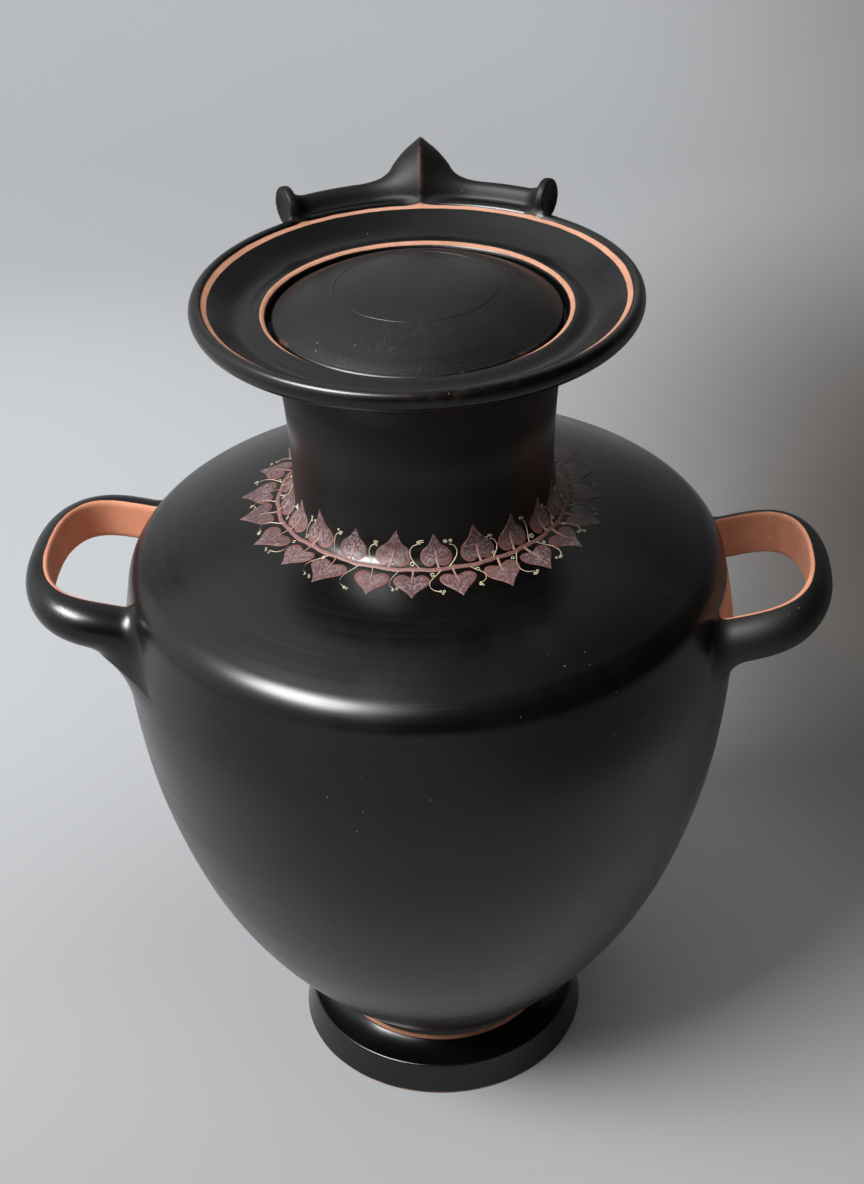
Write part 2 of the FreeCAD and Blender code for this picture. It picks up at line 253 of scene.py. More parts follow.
def lathe(name, node, sections, body="vessel"):
    """Turns a closed outline about Z. Each section is smooth, with corners only between sections."""
    outline, spans = [], []
    for section in sections:
        section = np.asarray(section, float)
        along = np.gradient(section, axis=0)
        if len(section) > 4:
            along[0] = 2 * along[0] - (section[2] - section[0]) / 2
            along[-1] = 2 * along[-1] - (section[-1] - section[-3]) / 2
        along = unit(along)
        outward = np.c_[along[:, 1], -along[:, 0]]
        for i in range(len(section) - 1):
            outline.append(section[i])
            spans.append((outward[i], outward[i + 1]))
    turns = np.linspace(0, 2 * math.pi, ROUND_SEGMENTS, endpoint=False)
    cos, sin = np.cos(turns), np.sin(turns)
    vertices, rings = [], []
    for r, z in outline:
        if r < 1e-6:
            rings.append([len(vertices)] * ROUND_SEGMENTS)
            vertices.append((0, 0, z))
        else:
            rings.append(range(len(vertices), len(vertices) + ROUND_SEGMENTS))
            vertices.extend(zip(r * cos, r * sin, [z] * ROUND_SEGMENTS))
    faces, normals = [], []
    for i, (low, high) in enumerate(spans):
        lower, upper = rings[i], rings[(i + 1) % len(rings)]
        if lower[0] == lower[1] and upper[0] == upper[1]:
            continue  # along the axis there is nothing to cover
        for k in range(ROUND_SEGMENTS):
            n = (k + 1) % ROUND_SEGMENTS
            corners = [(lower[k], low, k), (lower[n], low, n), (upper[n], high, n), (upper[k], high, k)]
            if lower[k] == lower[n]:
                corners.pop(0)
            elif upper[k] == upper[n]:
                corners.pop(3)
            faces.append([c[0] for c in corners])
            normals.extend((c[1][0] * cos[c[2]], c[1][0] * sin[c[2]], c[1][1]) for c in corners)
    return make_mesh(name, vertices, faces, normals, {}, body, [node])


def foot_piece():
    base, step, shelf, hollow = (66, 0), (79.3, 0.8), (75.2, 16.2), (48, 15)
    edge, bead = (73.8, 17.3), (60.5, 21.8)
    sections = [
        *lines(base, (78.5, 0), step),
        spline([step, (77.9, 6), (76.5, 11.5), shelf], spacing=0.8),
        arc_through(shelf, (74.8, 17), edge, 0.15),
        arc_through(edge, (66.5, 18.6), bead),
        arc_through(bead, (59.2, 24.2), FOOT_TOP),
        *lines(FOOT_TOP, (48, 27), hollow),
        arc_through(hollow, (54, 5.5), base),
    ]
    return lathe("foot_ring", "foot", sections)


def belly_piece():
    inner = inset(belly_outside, WALL)
    inner = inner[(inner[:, 1] > 85) & (inner[:, 1] < 258)]
    inner_top = (BELLY_TOP[0] - WALL, BELLY_TOP[1])
    floor = [(0, 36), (45, 39), (72, 52)]
    inside = spline(floor + [tuple(q) for q in inner[::6]] + [inner_top], (1, 0), (0, 1), 4)
    sections = [
        line((0, 27), FOOT_TOP, 20),
        belly_outside,
        line(BELLY_TOP, inner_top),
        inside[::-1],
        line((0, 36), (0, 27), 20),
    ]
    return lathe("belly_wall", "belly", sections)


BORE_R = 57.5
bore_root, bore_low = (BORE_R, neck_root[1]), (BORE_R, neck_root[1] - 6)


def shoulder_piece():
    inner_round, inner_low = SHOULDER_ROUND - WALL, (148.7, 262)
    inner_end = on_circle(SHOULDER_CENTRE, inner_round, 90 - SLOPE_DEG)
    inner_start = on_circle(SHOULDER_CENTRE, inner_round, WALL_LEAN_DEG)
    inner_top = spline([inner_end, (121.8, 318.4), (107.8, 324), (87.5, 329.5), bore_low], spacing=4)
    sections = [
        shoulder_outside,
        *lines(neck_root, bore_root, bore_low),
        inner_top[::-1],
        arc(SHOULDER_CENTRE, inner_round, 90 - SLOPE_DEG, WALL_LEAN_DEG, 2),
        spline([inner_start, (147, 281.5), inner_low], spacing=4),
        line(inner_low, BELLY_TOP),
    ]
    return lathe("shoulder_wall", "shoulder", sections)


BORE_TOP = (60.5, 410)


def neck_piece():
    bore = spline([bore_root, (BORE_R, 365), (58.6, 388), BORE_TOP], spacing=4)
    sections = [neck_outside, line(NECK_TOP, BORE_TOP), bore[::-1], line(bore_root, neck_root)]
    return lathe("neck_wall", "neck", sections)


def mouth_piece():
    crest = len(mouth_under) + len(lip_round) - 3
    sections = [
        mouth_outside[: crest + 1],
        mouth_outside[crest:],
        arc((73.8, 438.8), 3.2, 90, 180, 0.2),
        *lines((70.6, 438.8), (70.6, 433), (60.5, 433), BORE_TOP, NECK_TOP),
    ]
    return lathe("mouth_ring", "mouth", sections)


LID_R, LID_EDGE_Z, LID_RING_R, GROOVE = 68.4, 439.6, 38.5, 0.35
LID_TOP, LID_INSIDE, FLANGE_ROOT, FLANGE_TOP = (0, 455.5), (0, 449.5), (51.5, 437), (57.5, 433)


def lid_piece():
    edge_top, edge_low = (LID_R - 1.5, LID_EDGE_Z + 0.6), (LID_R, LID_EDGE_Z - 1.5)
    dome = spline([edge_top, (LID_RING_R, 452), LID_TOP], (-0.85, 0.5), (-1, 0), 1)
    cut = np.argmin(abs(dome[:, 0] - LID_RING_R))
    outer, inner = dome[: cut + 1], dome[cut:]
    groove_in = inner[0] + (-GROOVE, 0.06)
    inner = np.concatenate([[groove_in], inner[1:]])
    inner[-1] = LID_TOP
    sections = [
        *lines(FLANGE_TOP, (LID_R, 433), edge_low),
        arc_through(edge_low, (LID_R - 0.5, LID_EDGE_Z), edge_top, 0.2),
        outer,
        [outer[-1], outer[-1] + (-GROOVE / 2, -GROOVE * 0.9), groove_in],
        inner,
        line(LID_TOP, LID_INSIDE),
        spline([LID_INSIDE, (36, 446), FLANGE_ROOT], spacing=4),
        *lines(FLANGE_ROOT, (51.5, 421), (57.5, 421), FLANGE_TOP),
    ]
    return lathe("lid_disc", "lid", sections, "lid")


# ---- blended shapes


def ease(value, first, last):
    t = np.clip((value - first) / (last - first), 0, 1)
    return t * t * (3 - 2 * t)


def smooth_min(a, b, k):
    h = np.maximum(k - abs(a - b), 0) / k
    return np.minimum(a, b) - h * h * k * 0.25


def smooth_max(a, b, k):
    return -smooth_min(-a, -b, k)


def running_mean(values, half):
    return np.convolve(np.pad(values, half, mode="edge"), np.ones(2 * half + 1) / (2 * half + 1), "valid")


class Path:
    """A plane curve through dense points, for signed distances.

    Its normals are to the right of travel, or to the left with side=-1.
    """

    def __init__(self, points, side=1, spacing=0.2, window=7):
        points = np.asarray(points, float)
        run = run_along(points)
        self.s = np.linspace(0, run[-1], int(run[-1] / spacing) + 1)
        self.p = np.stack([np.interp(self.s, run, values) for values in points.T], -1)
        tangent = np.gradient(self.p, self.s, axis=0)
        for axis in (0, 1):
            tangent[:, axis] = running_mean(tangent[:, axis], window)
        self.t = unit(tangent)
        self.n = side * np.c_[self.t[:, 1], -self.t[:, 0]]
        turning = np.gradient(self.n, self.s, axis=0)
        self.k = running_mean((turning * self.t).sum(1), window * 3 // 2)

    def nearest(self, a, b):
        """For points (a, b): the place along the path and the signed distance."""
        index = np.empty(len(a), int)
        for first in range(0, len(a), 20000):
            part = slice(first, first + 20000)
            x, y = a[part, None], b[part, None]
            coarse = self.p[::8]
            closest = ((x - coarse[:, 0]) ** 2 + (y - coarse[:, 1]) ** 2).argmin(1)
            around = np.clip(8 * closest[:, None] + np.arange(-8, 9), 0, len(self.p) - 1)
            square = (x - self.p[around, 0]) ** 2 + (y - self.p[around, 1]) ** 2
            index[part] = np.take_along_axis(around, square.argmin(1)[:, None], 1)[:, 0]
        da, db = a - self.p[index, 0], b - self.p[index, 1]
        along = da * self.t[index, 0] + db * self.t[index, 1]
        off = da * self.n[index, 0] + db * self.n[index, 1]
        place = self.s[index] + along
        k = np.interp(place, self.s, self.k)
        bow = 1 + k * off
        curved = (abs(k) > 1e-5) & (bow > 0.3)
        bent = (np.hypot(bow, k * np.clip(along, -1, 1)) - 1) / np.where(curved, k, 1)
        return place, np.where(curved, bent, off)


wall_z, wall_r = wall_outside[:, 1], wall_outside[:, 0]
wall_lean = 1 / np.sqrt(1 + np.gradient(wall_r, wall_z) ** 2)


def wall_gap(x, y, z):
    """How far a point stands off the vessel's outer wall."""
    return (np.hypot(x, y) - np.interp(z, wall_z, wall_r)) * np.interp(z, wall_z, wall_lean)


mouth_path = Path(mouth_outside, spacing=0.25, window=2)


def mouth_gap(x, y, z):
    return mouth_path.nearest(np.hypot(x, y), z)[1]


def gradient(field, points, reach=0.2):
    """The field's slope at each point."""
    steps = reach * np.eye(3)
    return np.stack([(field(points + s) - field(points - s)) / (2 * reach) for s in steps], -1)


def blended_surface(field, low, high, cell):
    """Vertices, quads and normals of the surface where the field is zero."""
    nodes = [np.arange(a, b + cell, cell) for a, b in zip(low, high)]
    shape = tuple(len(n) for n in nodes)
    block = 5
    coarse_nodes = [n[::block] for n in nodes]
    grid = np.stack(np.meshgrid(*coarse_nodes, indexing="ij"), -1)
    coarse = field(grid.reshape(-1, 3)).reshape(grid.shape[:3])
    spread = [np.minimum((np.arange(n) + block // 2) // block, c - 1) for n, c in zip(shape, coarse.shape)]
    values = coarse[np.ix_(*spread)]
    close = np.nonzero(abs(values) < 1.3 * block * cell)
    values[close] = field(np.stack([n[i] for n, i in zip(nodes, close)], -1))

    inside = values < 0
    cells = tuple(n - 1 for n in shape)
    total, crossings = np.zeros(cells + (3,)), np.zeros(cells)
    for c, axis in itertools.product(itertools.product((0, 1), repeat=3), range(3)):
        if c[axis]:
            continue
        d = c[:axis] + (1,) + c[axis + 1 :]
        here, there = (tuple(slice(o, o + n) for o, n in zip(ends, cells)) for ends in (c, d))
        a, b = values[here], values[there]
        cross = inside[here] != inside[there]
        part = np.where(cross, a / np.where(cross, a - b, 1), 0)
        for i in range(3):
            total[..., i] += np.where(cross, c[i] + (part if i == axis else 0), 0)
        crossings += cross
    mixed = crossings > 0
    number = np.full(cells, -1)
    number[mixed] = np.arange(mixed.sum())
    where = np.stack(np.nonzero(mixed), -1)
    vertices = np.array([n[0] for n in nodes]) + cell * (where + total[mixed] / crossings[mixed][:, None])
    faces = []
    for axis in range(3):
        u, v = (axis + 1) % 3, (axis + 2) % 3
        near = [slice(1, -1)] * 3
        near[axis] = slice(0, -1)
        far = list(near)
        far[axis] = slice(1, None)
        a, b = inside[tuple(near)], inside[tuple(far)]
        for order, edges in ((1, a & ~b), (-1, ~a & b)):
            start = np.stack(np.nonzero(edges), -1)
            ring = []
            for du, dv in ((1, 1), (0, 1), (0, 0), (1, 0))[::order]:
                spot = start.copy()
                spot[:, u] += du
                spot[:, v] += dv
                ring.append(number[tuple(spot.T)])
            faces.append(np.stack(ring, -1))
    faces = np.concatenate(faces)
    for _ in range(3):
        slope = gradient(field, vertices)
        size = np.maximum((slope**2).sum(1), 0.05)
        move = slope * (field(vertices) / size)[:, None]
        length = np.maximum(np.linalg.norm(move, axis=1), 1e-9)
        vertices -= move * np.minimum(1, 0.5 * cell / length)[:, None]
    return vertices, faces, unit(gradient(field, vertices))


def toward(normals, others, weight):
    """The normals turned towards others, which need not be of unit length."""
    return unit(normals * (1 - weight[:, None]) + unit(others) * weight[:, None])


def turn(points, degrees):
    (x, y, z), (cos, sin) = points.T, direction(degrees)
    return np.c_[x * cos - y * sin, x * sin + y * cos, z]


def patch(name, vertices, faces, normals, attributes, body, node):
    """A piece from some of a blended surface's faces."""
    used, renumbered = np.unique(faces, return_inverse=True)
    faces = renumbered.reshape(faces.shape)
    kept = {key: values[used] for key, values in attributes.items()}
    corners = normals[used][faces.ravel()]
    return make_mesh(name, vertices[used], faces.tolist(), corners, kept, body, [node])


LEFT_LOOP = dict(
    azimuth=181, tilt=12, top_z=304.5, reach=40.46, half_width=46.4, face_height=21,
    arm_thick=15.4, end_thick=12.6, lean=5.4, drop=2, root_blend=24,
    near_side=1, bare_far=1.3, bare_near=2.6,
)
RIGHT_LOOP = dict(
    azimuth=0, tilt=14.5, top_z=298.5, reach=41.56, half_width=45, face_height=25,
    arm_thick=12, end_thick=11.6, lean=6, drop=0.8, root_blend=14,
    near_side=-1, bare_far=1, bare_near=2.8,
)
LOOP_ROOT_X, LOOP_END_POWER, LOOP_SIDE_POWER = 150, 3.75, 2.4
LOOP_EDGE, INSIDE_BLEND, NEAR_ARM_IN = 3, 3, 1.6
SINK, LIP_SINK = 0.014, 0.03


def nearness(loop, c, span=30):
    """0 at the loop's middle, 1 from span out on its near arm."""
    return np.clip(loop["near_side"] * c / span, 0, 1)


def loop_path(loop):
    """The inner face's top edge in the loop's own plane, from root to root."""
    angles = np.pi / 2 * np.sin(np.radians(np.linspace(-90, 90, 1441)))
    reach = loop["reach"] * np.cos(angles).clip(0, 1) ** (2 / LOOP_END_POWER)
    side = loop["half_width"] * np.sign(angles) * abs(np.sin(angles)) ** (2 / LOOP_SIDE_POWER)
    arm = np.linspace(-50, -0.5, 60)
    near = np.c_[arm, np.full(60, -loop["half_width"])]
    far = np.c_[arm[::-1], np.full(60, loop["half_width"])]
    points = np.concatenate([near, np.c_[reach, side], far])
    points[:, 1] -= loop["near_side"] * NEAR_ARM_IN * nearness(loop, points[:, 1])
    return Path(points)


def loop_handle(name, loop, node):
    path = loop_path(loop)
    cos, sin = direction(loop["tilt"])
    tilted = np.array([[cos, 0, sin], [0, 1, 0], [-sin, 0, cos]])
    height = loop["face_height"]

    def to_row(local):
        return local @ tilted + (LOOP_ROOT_X, 0, loop["top_z"])

    def tube(local):
        """The handle's own shape: distance to its round back, to its face and to both."""
        a, c, u = local.T
        place, off = path.nearest(a, c)
        ahead = np.clip(np.interp(place, path.s, path.n[:, 0]), 0, 1)
        near = NEAR_ARM_IN * nearness(loop, c)
        thick = loop["arm_thick"] + near + (loop["end_thick"] - near - loop["arm_thick"]) * ahead
        lean = loop["lean"] * ahead
        back = (thick - lean / 2, -height / 2 - loop["drop"])
        centre_n, centre_u = circle_centre((0, 0), (-lean, -height), back)
        rounded = np.hypot(off - centre_n, u - centre_u) - np.hypot(centre_n, centre_u)
        size = np.hypot(height, lean)
        face = -(off * height - u * lean) / size
        return rounded, face, smooth_max(rounded, face, LOOP_EDGE)

    def wall(local):
        return wall_gap(*to_row(local).T)

    def blend_size(local, face):
        outer = np.clip(-face / 6, 0, 1)
        below = np.clip(-local[:, 2] / height, 0, 1.2) ** 2
        root = 8.0 + (loop["root_blend"] - 8) * below * (0.45 + 0.55 * nearness(loop, local[:, 1], 40))
        return INSIDE_BLEND + (root - INSIDE_BLEND) * outer

    def field(local):
        rounded, face, both = tube(local)
        stand, blend = wall(local), blend_size(local, face)
        return smooth_min(both, stand, blend) + SINK * ease((both - stand) / blend, 0.6, 0.95)

    margin = loop["arm_thick"] + loop["root_blend"] + 6.0
    low = (-50, -loop["half_width"] - margin, -height - margin)
    high = (loop["reach"] + 22, loop["half_width"] + margin, 18)
    vertices, faces, normals = blended_surface(field, low, high, CELL)
    rounded, face, both = tube(vertices)
    reach = (both - wall(vertices)) / blend_size(vertices, face)
    faces = faces[(reach[faces] < 0.995).all(1)]
    normals = toward(normals, gradient(wall, vertices), ease(reach, 0.7, 0.93))
    share = np.clip(0.5 + loop["near_side"] * vertices[:, 1] / 60, 0, 1)
    bare = loop["bare_far"] + (loop["bare_near"] - loop["bare_far"]) * share
    attributes = {"inner_face": face - rounded + bare, "wall_reach": reach}
    vertices = turn(to_row(vertices), loop["azimuth"])
    normals = turn(normals @ tilted, loop["azimuth"])
    return patch(name, vertices, faces, normals, attributes, "vessel", node)


BACK_TURN, SADDLE_TURN = 2.7, 3.8
SADDLE_R, SADDLE_THICK, SADDLE_Z, SADDLE_HALF = 111.5, 6.5, 451.3, 34.2
DISC_R, DISC_THICK, DISC_Z, DISC_TOE_OUT = 10, 4.8, 455, 9
KEEL_BEFORE_TOP = [(110, 450), (109.2, 461), (112, 470.5), (121.5, 475.6), (136, 471.5)]
KEEL_AFTER_TOP = [(151, 457), (161.5, 435), (165.8, 408), (164, 380), (157, 353)]
KEEL = KEEL_BEFORE_TOP + KEEL_AFTER_TOP + [(147, 330), (136, 303)]
KEEL_ROUND = 0.5
DISC_DISH = 2.7
FIN_R, FIN_BLEND = 2.6, 8
HOOD_BLEND, DISC_BLEND, LIP_BLEND, ROOT_BLEND = 22, 9, 3.6, 13
keel_path = Path(spline(KEEL, spacing=0.6), -1)


def strap_shape(points):
    """The keeled strap of the upright handle, and the place along it."""
    x, y, z = points.T
    along, off = keel_path.nearest(y, z)
    down = -off
    hood = np.interp(along, [0, 14, 30, 50, 75, 110, 230], [1, 1, 1, 1, 0.6, 0.35, 0.5])
    width = np.interp(along, [0, 20, 60, 120, 190, 235], [13.2, 12.6, 12.2, 11.9, 12.4, 15])
    thick = np.interp(along, [0, 20, 50, 80, 190, 235], [15, 16, 15, 12, 12, 14])
    slope = 0.45 + 0.42 * hood
    gable = (np.hypot(x, KEEL_ROUND) - KEEL_ROUND - down / slope) / np.hypot(1, 1 / slope)
    sides = smooth_max(gable, abs(x) - width, 7)
    return smooth_max(smooth_max(sides, down - thick, 5), -1.0 - along, 4), along


def saddle_bar(points):
    local = turn(points, BACK_TURN - SADDLE_TURN)
    x, y, z = local.T
    ring = np.hypot(x, y)
    azimuth = np.degrees(np.arctan2(x, y))
    crest = np.hypot(ring - SADDLE_R - 0.6, z - SADDLE_Z - SADDLE_THICK + FIN_R) - FIN_R
    base = np.hypot(ring - SADDLE_R, z - SADDLE_Z + 4.5) - SADDLE_THICK
    bar = smooth_min(crest, base, FIN_BLEND)
    ends = (abs(azimuth) - SADDLE_HALF) * math.radians(1) * SADDLE_R + 2.5
    return smooth_max(bar, ends, 2)


def disc_frame(points, side):
    """A point's height above a disc's back and its distance from the disc's axis."""
    local = turn(points, BACK_TURN - SADDLE_TURN)
    local = turn(local, side * SADDLE_HALF)
    local[:, 1] -= SADDLE_R
    local[:, 2] -= DISC_Z
    local = turn(local, -side * DISC_TOE_OUT)
    return local[:, 0] * side, np.hypot(local[:, 1], local[:, 2])


def end_disc(points, side):
    above, off = disc_frame(points, side)
    plate = smooth_max(off - DISC_R, abs(above - DISC_THICK / 2) - DISC_THICK / 2, 2.2)
    dished = above - (DISC_THICK - DISC_DISH) - DISC_DISH * (off / (DISC_R - 0.9)) ** 2
    return smooth_max(plate, dished, 0.9)


def upright_parts(points):
    strap, along = strap_shape(points)
    bar = saddle_bar(points)
    discs = np.minimum(end_disc(points, -1), end_disc(points, 1))
    joined = smooth_min(smooth_min(strap, bar, HOOD_BLEND), discs, DISC_BLEND)
    return strap, bar, joined, along


def upright_field(points):
    joined = upright_parts(points)[2]
    row = turn(points, BACK_TURN)
    lip, wall = mouth_gap(*row.T), wall_gap(*row.T)
    sink = LIP_SINK * ease((joined - lip) / LIP_BLEND, 0.6, 0.95)
    sink += SINK * ease((joined - wall) / ROOT_BLEND, 0.6, 0.95)
    return smooth_min(smooth_min(joined, lip, LIP_BLEND), wall, ROOT_BLEND) + sink


def upright_handle():
    half = CELL / 2
    low = (-83.5 - half, 74, 296)
    high = (83.5 + half, 176, 481)
    vertices, faces, normals = blended_surface(upright_field, low, high, CELL)
    strap, bar, joined, along = upright_parts(vertices)
    row = turn(vertices, BACK_TURN)
    off_lip = (joined - mouth_gap(*row.T)) / LIP_BLEND
    off_wall = (joined - wall_gap(*row.T)) / ROOT_BLEND
    kept = (off_lip < 0.99) & (off_wall < 0.99)
    for gap, off in ((mouth_gap, off_lip), (wall_gap, off_wall)):
        normals = toward(normals, gradient(lambda q: gap(*q.T), vertices), ease(off, 0.7, 0.9))
    faces = faces[kept[faces].all(1)]
    middle = vertices[faces].mean(1)
    heights = [disc_frame(middle, side) for side in (-1, 1)]
    left, right = ((above > -0.8) & (off < DISC_R + 2) for above, off in heights)
    bar_side = (bar[faces].mean(1) < strap[faces].mean(1)) & ~left & ~right
    keel = np.exp(-((vertices[:, 0] / 1.1) ** 2)) * (normals[:, 2] > -0.2) * (along < 90)
    attributes = {"keel": keel * ease(-off_lip, 0, 0.6), "lip_reach": off_lip, "wall_reach": off_wall}
    normals = turn(normals, BACK_TURN)
    for name, chosen, node in (
        ("rotelle_left", left, "left_rotelle"),
        ("rotelle_right", right, "right_rotelle"),
        ("saddle_bar", bar_side, "handle_saddle"),
        ("upright_strap", ~(left | right | bar_side), "back_handle"),
    ):
        yield patch(name, row, faces[chosen], normals, attributes, "vessel", node)


# ---- materials


class Nodes:
    """Short calls for a tree of shader nodes."""

    def __init__(self, tree, place):
        self.tree = tree
        self.place = self.node("ShaderNodeTexCoord", {}, output=place)

    def node(self, kind, inputs, output=0, **settings):
        made = self.tree.nodes.new(kind)
        for key, value in settings.items():
            setattr(made, key, value)
        self.put(made.inputs, inputs)
        return made.outputs[output]

    def put(self, sockets, values):
        for key, value in values.items():
            if isinstance(value, bpy.types.NodeSocket):
                self.tree.links.new(value, sockets[key])
            else:
                sockets[key].default_value = value

    def math(self, operation, *values):
        return self.node("ShaderNodeMath", dict(enumerate(values)), operation=operation)

    def times(self, first, *others):
        for other in others:
            first = self.math("MULTIPLY", first, other)
        return first

    def plus(self, first, *others):
        for other in others:
            first = self.math("ADD", first, other)
        return first

    def minus(self, a, b):
        return self.math("SUBTRACT", a, b)

    def axes(self):
        return self.node("ShaderNodeSeparateXYZ", {0: self.place}).node.outputs


class Material(Nodes):
    """A node material, with the textures and masks that the glaze, clay and paint share."""

    def __init__(self, name):
        self.material = bpy.data.materials.new(name)
        self.material.use_nodes = True
        super().__init__(self.material.node_tree, "Object")
        self.shader = self.tree.nodes["Principled BSDF"]

    def surface(self, colour, rough, bumps=None, ior=1.5):
        inputs = {"Base Color": colour, "Roughness": rough, "IOR": ior}
        if bumps:
            bump = {"Strength": 1, "Distance": MM, "Height": bumps}
            inputs["Normal"] = self.node("ShaderNodeBump", bump)
        self.put(self.shader.inputs, inputs)
        return self.material

    def noise(self, scale, detail=4, roughness=0.5, vector=None, distortion=0):
        inputs = dict(Vector=vector or self.place, Scale=scale, Detail=detail)
        inputs.update(Roughness=roughness, Distortion=distortion)
        return self.node("ShaderNodeTexNoise", inputs)

    def step(self, value, low, high, first=0, last=1):
        inputs = {"Value": value, "From Min": low, "From Max": high, "To Min": first, "To Max": last}
        return self.node("ShaderNodeMapRange", inputs, interpolation_type="SMOOTHSTEP")

    def blend(self, factor, first, second):
        return self.node(
            "ShaderNodeMix", {0: factor, 6: first, 7: second}, output=2, data_type="RGBA", clamp_factor=True
        )

    def mix(self, factor, first, second):
        return self.node("ShaderNodeMix", {0: factor, 2: first, 3: second})

    def attribute(self, name):
        return self.node("ShaderNodeAttribute", {}, output="Fac", attribute_name=name)

    def cylinder(self):
        """The radius and height in millimetres, then x and y in metres."""
        x, y, z = self.axes()
        square = self.plus(self.times(x, x), self.times(y, y))
        return self.times(self.math("SQRT", square), 1000), self.times(z, 1000), x, y

    def band(self, value, low, high, soft=0.25):
        """1 between low and high, with soft edges."""
        rising = self.step(value, low - soft, low + soft)
        falling = self.step(value, high - soft, high + soft, 1, 0)
        return self.times(rising, falling)


BLACK = (0.0010, 0.0010, 0.0012, 1)
BLACK_WARM = (0.0036, 0.0028, 0.0023, 1)
THIN_BROWN = (0.045, 0.017, 0.010, 1)
DUST = (0.22, 0.21, 0.19, 1)
CLAY = ((0.36, 0.137, 0.074, 1), (0.55, 0.24, 0.142, 1), (0.68, 0.37, 0.24, 1))
RING_CLAY = ((0.25, 0.108, 0.065, 1), (0.37, 0.182, 0.117, 1), (0.47, 0.28, 0.19, 1))


FINE_BUMP = 0.016


def vessel_material(
    name, clay=None, wear=None, brown=None, streak=1, lean=0.6, gloss=0.31, scratches=0,
    dull_right=0, dull_flare=0, tones=CLAY, joins=(), ior=1.52,
):
    """Black gloss over orange clay. clay, wear and brown are functions that return masks."""
    m = Material(name)
    radius, height, x, y = m.cylinder()
    wobble = m.times(m.minus(m.noise(90, 3), 0.5), 0.7)
    profile = m.minus(height, m.times(radius, lean))
    turned = []
    for sideways, upward in ((5, 0.55), (2, 0.07)):
        parts = m.times(x, sideways), m.times(y, sideways), m.times(profile, upward)
        turned.append(m.node("ShaderNodeCombineXYZ", dict(enumerate(parts))))
    fine = m.noise(1, 6, 0.62, turned[0])
    broad = m.noise(1, 3, 0.5, turned[1])
    clouds = m.noise(14, 5, 0.6)
    grit = m.noise(900, 2, 0.6)

    colour = m.blend(m.step(clouds, 0.42, 0.72), BLACK, BLACK_WARM)
    colour = m.blend(m.times(m.step(fine, 0.55, 0.75), 0.35), colour, BLACK_WARM)
    if brown:
        colour = m.blend(brown(m, height, x, y), colour, THIN_BROWN)
    cells = {"Vector": m.place, "Scale": 150, "Randomness": 1.0}
    specks = m.node("ShaderNodeTexVoronoi", cells, output="Distance")
    rare = m.step(m.noise(31, 2), 0.55, 0.62)
    dust = m.times(m.step(specks, 0.035, 0.075, 1, 0), rare)
    colour = m.blend(m.times(dust, 0.5), colour, DUST)

    rough = m.plus(
        m.step(fine, 0.3, 0.8, gloss - 0.01, gloss + 0.03),
        m.step(broad, 0.3, 0.7, -0.02, 0.03),
        m.step(clouds, 0.4, 0.75, 0, 0.06),
        m.times(dust, 0.3),
    )
    sizes = (fine, FINE_BUMP * streak), (broad, 0.10 * streak), (clouds, 0.05), (grit, 0.005)
    bumps = m.plus(*(m.times(m.minus(field, 0.5), size) for field, size in sizes))
    plain = m.minus(rough, gloss - 0.25)
    if dull_right:
        rough = m.plus(rough, m.step(x, 0, 0.15, 0, dull_right))
    for attribute in joins:
        rough = m.mix(m.step(m.attribute(attribute), 0, 0.85), rough, plain)
    if dull_flare:
        rough = m.plus(rough, m.times(m.band(height, 392, 434, 8), dull_flare))
    if scratches:
        colour = m.blend(m.times(m.step(grit, 0.55, 0.7), 0.12 * scratches), colour, DUST)
        marks = m.node("ShaderNodeMapping", {"Vector": m.place, "Scale": (260, 38, 60)})
        marks = m.noise(1, 5, 0.6, marks, 0.6)
        thin = m.times(m.band(marks, 0.575, 0.585, 0.004), m.step(m.noise(24, 2), 0.45, 0.62))
        colour = m.blend(m.times(thin, 0.22 * scratches), colour, DUST)
        rough = m.plus(rough, m.times(thin, 0.2))

    if wear:
        worn = wear(m, radius, height)
        colour = m.blend(worn, colour, THIN_BROWN)
        rough = m.plus(rough, m.times(worn, 0.15))
    if clay:
        mask = clay(m, radius, height, x, y, wobble)
        grain = m.noise(420, 4, 0.65)
        dark, usual, pale = tones
        body = m.blend(m.step(m.noise(60, 5, 0.6), 0.3, 0.7), dark, usual)
        body = m.blend(m.step(grain, 0.58, 0.8), m.blend(0.45, body, usual), pale)
        colour = m.blend(mask, colour, body)
        rough = m.mix(mask, rough, 0.78)
        grains = m.times(m.minus(grain, 0.5), m.times(mask, 0.06))
        bumps = m.plus(bumps, grains, m.times(mask, -0.05))
    return m.surface(colour, rough, bumps, ior)


def foot_clay(m, radius, height, x, y, wobble):
    wobbly = m.plus(height, wobble)
    bead = m.times(m.band(wobbly, 22.3, 24.2), m.step(radius, 61.6, 61))
    base = m.times(m.step(wobbly, 1.1, 0.6), m.step(radius, 60, 62))
    return m.math("MAXIMUM", bead, base)


def mouth_clay(m, radius, height, x, y, wobble):
    wobbly = m.plus(radius, m.times(wobble, 0.8))
    above = m.step(height, 446.5, 447)
    thinner = m.step(y, 0.03, 0.09)
    outer = m.times(m.step(m.minus(wobbly, m.times(thinner, 0.6)), 97.4, 97.8), above)
    outer = m.times(outer, m.step(m.plus(wobbly, m.times(thinner, 0.2)), 100.2, 99.8))
    covered = m.plus(wobbly, m.step(y, -0.062, -0.040, 1.3, 0))
    inner = m.times(m.step(wobbly, 71.2, 71.6), m.step(covered, 73.7, 73.3), m.step(height, 438.2, 438.6))
    return m.math("MAXIMUM", outer, inner)


